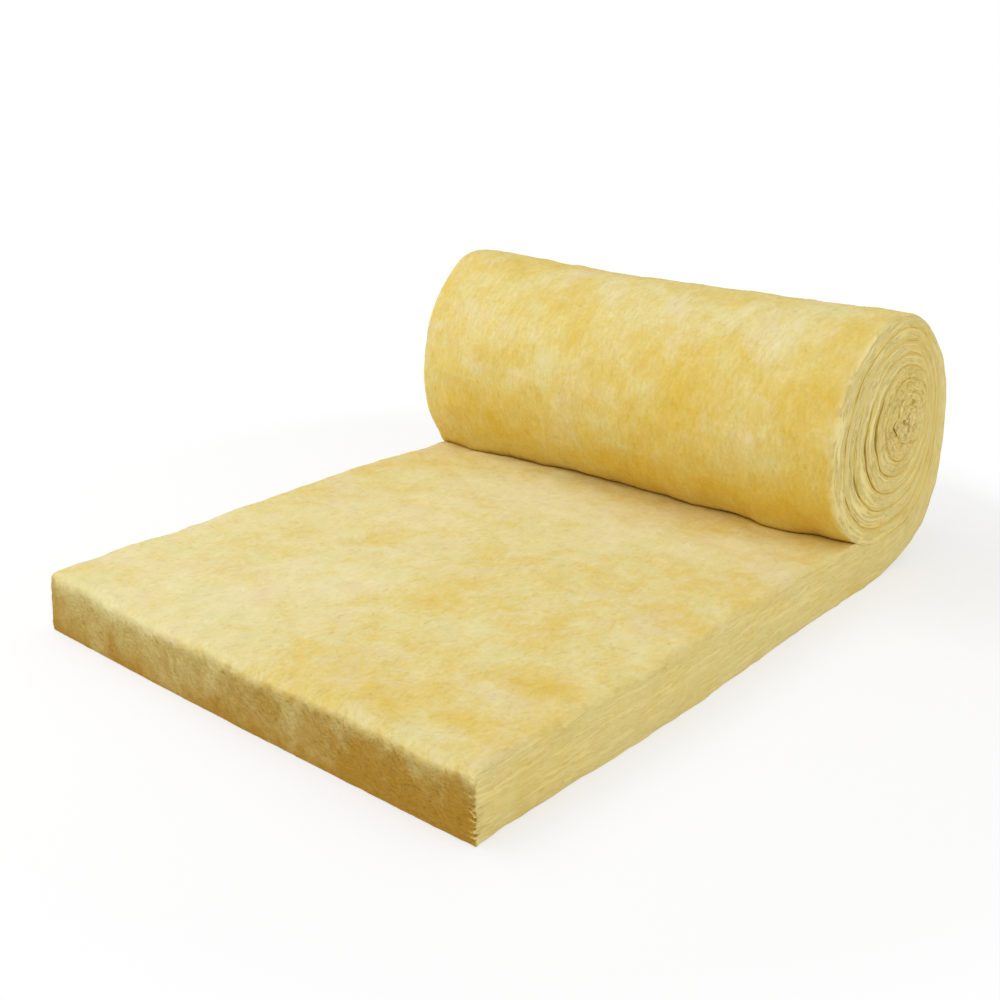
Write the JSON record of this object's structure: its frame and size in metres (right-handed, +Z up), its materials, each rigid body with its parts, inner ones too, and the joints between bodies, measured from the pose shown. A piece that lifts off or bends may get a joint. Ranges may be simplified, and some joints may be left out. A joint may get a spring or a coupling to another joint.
{
  "type": "insulation roll",
  "caption": "Bare glass wool blanket, partly unrolled: a thick flat length that runs into a spiral roll resting on it. Insulates roofs, walls and ceilings.",
  "frame": {"origin": "on the floor, at the middle of the part's outline seen from above", "axes": "+X across the blanket along the roll's axis, +Y along the flat length towards the roll, +Z up"},
  "size_m": [1.2, 1.7, 0.62],
  "materials": {
    "glass_wool": "matted yellow glass fibre, fully matte, mottled cream to gold"
  },
  "bodies": {
    "root": {"blanket": "glass_wool"}
  },
  "joints": []
}
